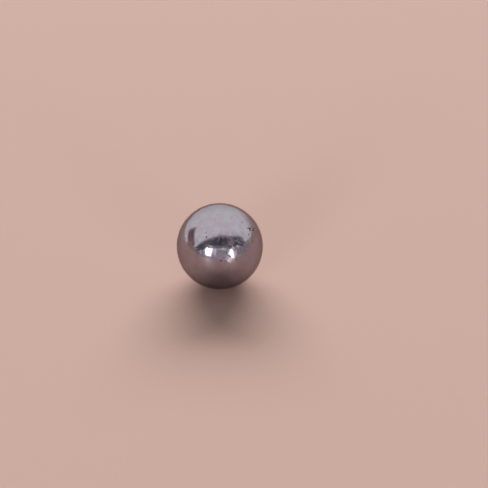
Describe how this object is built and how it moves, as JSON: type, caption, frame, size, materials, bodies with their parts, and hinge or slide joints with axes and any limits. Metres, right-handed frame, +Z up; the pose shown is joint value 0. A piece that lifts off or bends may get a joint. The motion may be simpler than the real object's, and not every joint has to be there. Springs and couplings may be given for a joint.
{
  "type": "steel ball",
  "caption": "Solid polished steel ball that rolls, bears or clicks into a seat, with a few small pits and nicks from handling.",
  "frame": {"origin": "centre of the ball", "axes": "+Z up, away from the surface that the ball lies on; every axis through the centre is a symmetry axis"},
  "size_m": [0.01, 0.01, 0.01],
  "materials": {
    "polished_steel": "polished"
  },
  "bodies": {
    "root": {"ball": "polished_steel"}
  },
  "joints": []
}
